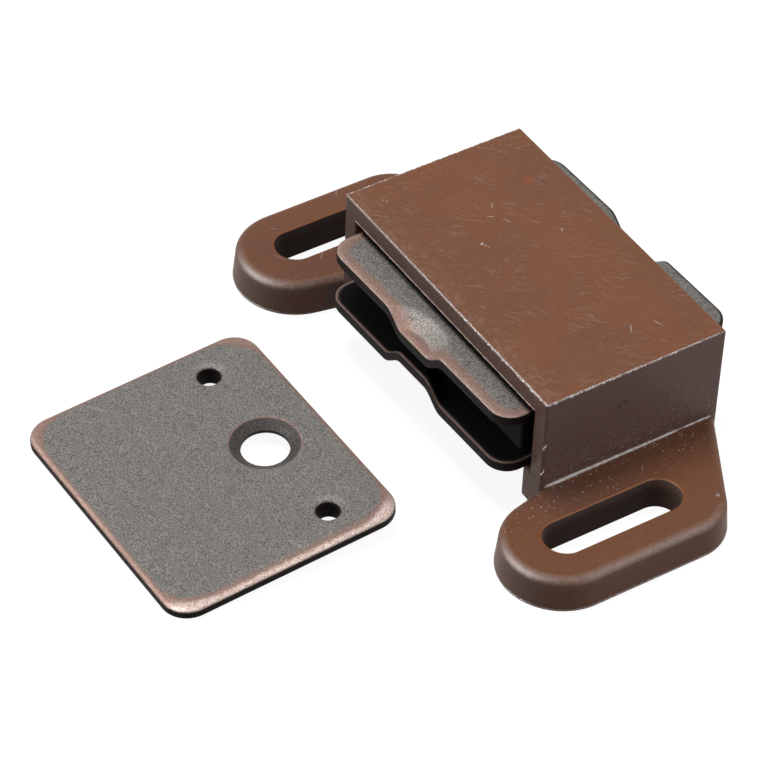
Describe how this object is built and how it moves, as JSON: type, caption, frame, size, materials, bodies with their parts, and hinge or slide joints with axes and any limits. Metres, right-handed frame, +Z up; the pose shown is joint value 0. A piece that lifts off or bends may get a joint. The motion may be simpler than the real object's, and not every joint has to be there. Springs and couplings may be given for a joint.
{
  "type": "magnetic catch",
  "caption": "Screw-on cabinet door catch: a moulded bridge housing with slotted ears holds a floating magnet between steel pole plates, with a loose strike plate.",
  "frame": {"origin": "midway between the two screw slots of the ears, on the face that is screwed to the cabinet", "axes": "+Z up out of the mounting face, +X across the catch from slot to slot, -Y towards the door and the strike plate"},
  "size_m": [0.065, 0.0659, 0.0156],
  "materials": {
    "brown_plastic": "satin",
    "antique_copper_steel": "satin",
    "ferrite": "matte"
  },
  "bodies": {
    "housing": {"housing": "brown_plastic", "strike_plate": "antique_copper_steel"},
    "magnet": {"magnet": "ferrite"},
    "pole_plates": {"upper_pole_plate": "antique_copper_steel", "lower_pole_plate": "antique_copper_steel"}
  },
  "joints": [
    {"name": "magnet_float", "type": "slide", "parent": "housing", "child": "magnet", "axis": [0, 1, 0], "range_m": [-0.00045, 0.00115]},
    {"name": "pole_twist", "type": "hinge", "parent": "magnet", "child": "pole_plates", "pos_m": [0, 0.0066, 0.00885], "axis": [0, 0, 1], "range_deg": [-3.5, 0.5]}
  ]
}
